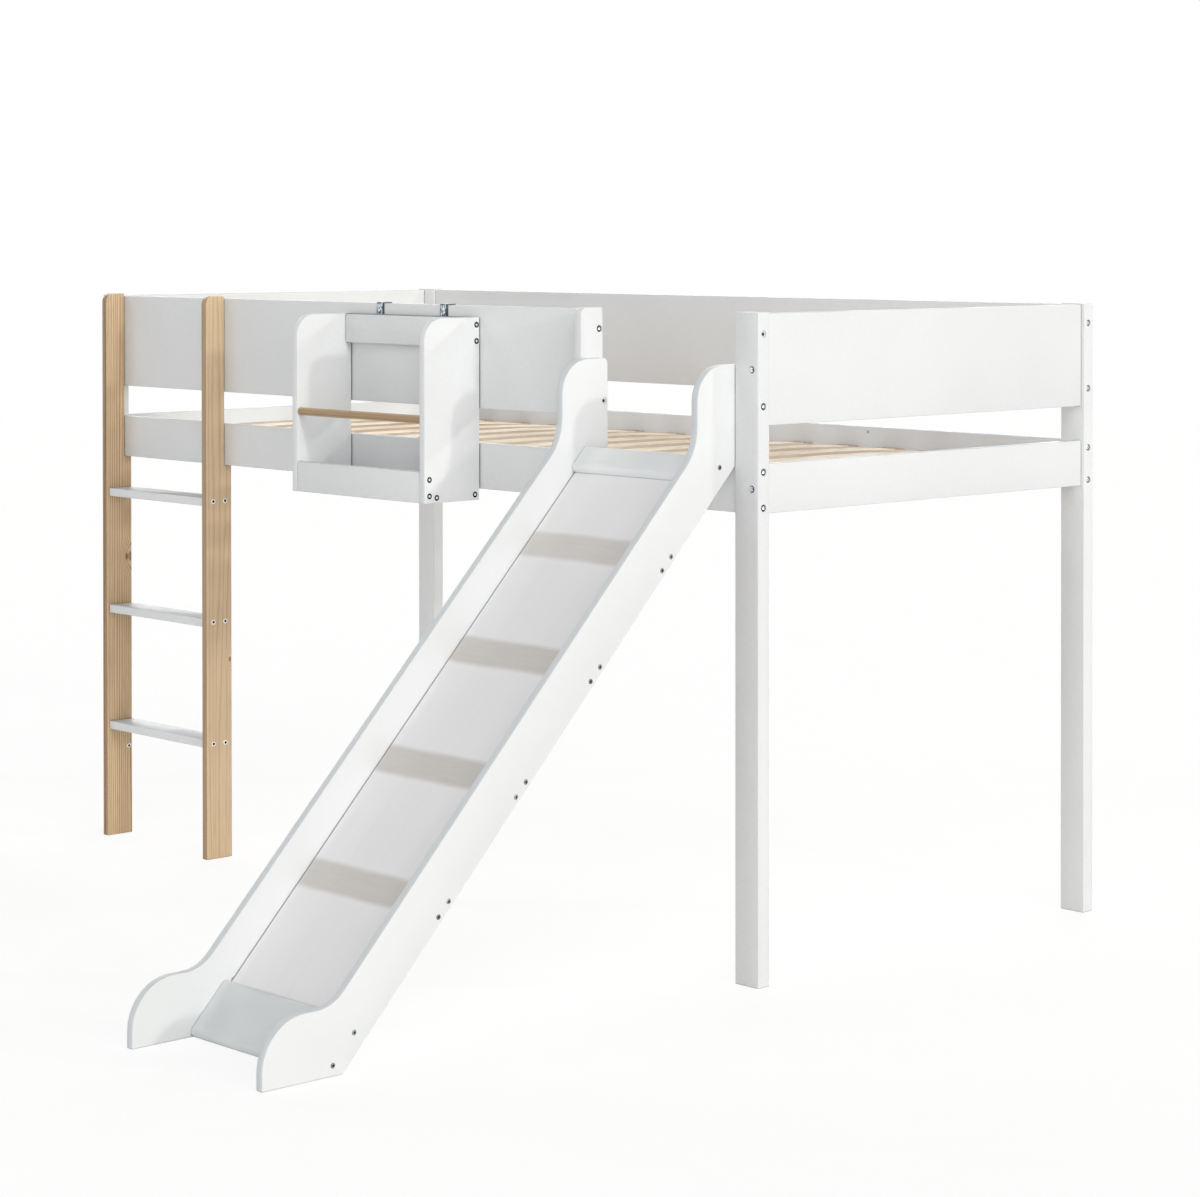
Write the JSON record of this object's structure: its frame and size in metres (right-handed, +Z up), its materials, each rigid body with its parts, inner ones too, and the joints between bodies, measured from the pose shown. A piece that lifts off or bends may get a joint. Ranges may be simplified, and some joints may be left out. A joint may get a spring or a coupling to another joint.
{
  "type": "loft bed with slide",
  "caption": "Mid-height wooden bed frame with slatted base and guard boards, a ladder, a slide with curved side boards and a small shelf hung on the front guard.",
  "frame": {"origin": "on the floor, at the middle of the whole footprint, slide included", "axes": "+Z up; +X along the bed, from the ladder towards the slide; -Y is the front, where the ladder, the shelf and the slide are"},
  "size_m": [2.06, 2.0295, 1.219],
  "materials": {
    "white_paint": "satin white lacquer",
    "pine": "clear-lacquered pine",
    "slat_pine": "planed bare pine",
    "milky_sheet": "smooth milky",
    "satin_board": "satin grey-white lacquer",
    "zinc": "zinc-plated"
  },
  "bodies": {
    "frame": {"post_front_left": "white_paint", "post_front_right": "white_paint", "post_back_left": "white_paint", "post_back_right": "white_paint", "guard_front": "white_paint", "guard_back": "white_paint", "guard_left": "white_paint", "guard_right": "white_paint", "rail_front": "white_paint", "rail_back": "white_paint", "rail_left": "white_paint", "rail_right": "white_paint", "opening_upright": "white_paint", "ladder_tread_1": "white_paint", "ladder_tread_2": "white_paint", "ladder_tread_3": "white_paint", "slide_side_left": "white_paint", "slide_side_right": "white_paint", "ladder_stile_left": "pine", "ladder_stile_right": "pine", "slat_01": "slat_pine", "slat_02": "slat_pine", "slat_03": "slat_pine", "slat_04": "slat_pine", "slat_05": "slat_pine", "slat_06": "slat_pine", "slat_07": "slat_pine", "slat_08": "slat_pine", "slat_09": "slat_pine", "slat_10": "slat_pine", "slat_11": "slat_pine", "slat_12": "slat_pine", "slat_13": "slat_pine", "slat_14": "slat_pine", "slat_15": "slat_pine", "slat_ledge_front": "slat_pine", "slat_ledge_back": "slat_pine", "slide_batten_1": "slat_pine", "slide_batten_2": "slat_pine", "slide_batten_3": "slat_pine", "slide_batten_4": "slat_pine", "slide_sheet": "milky_sheet", "slide_top_board": "satin_board", "slide_exit_board": "satin_board", "bolt_post_spare": "zinc", "bolt_slide_right": "zinc", "bolt_rail_upper": "zinc", "bolt_rail_lower": "zinc", "bolt_end_guard": "zinc", "bolt_end_rail": "zinc", "bolt_guard_upper": "zinc", "bolt_slide_left": "zinc"},
    "shelf": {"shelf_side_left": "white_paint", "shelf_side_right": "white_paint", "shelf_back_rail": "white_paint", "shelf_lip": "white_paint", "shelf_bottom": "white_paint", "shelf_rod": "pine", "shelf_hook_left": "zinc", "shelf_hook_right": "zinc"}
  },
  "joints": [
    {"name": "shelf_lift", "type": "slide", "parent": "frame", "child": "shelf", "axis": [0, 0, 1], "range_m": [0, 0.05]}
  ]
}
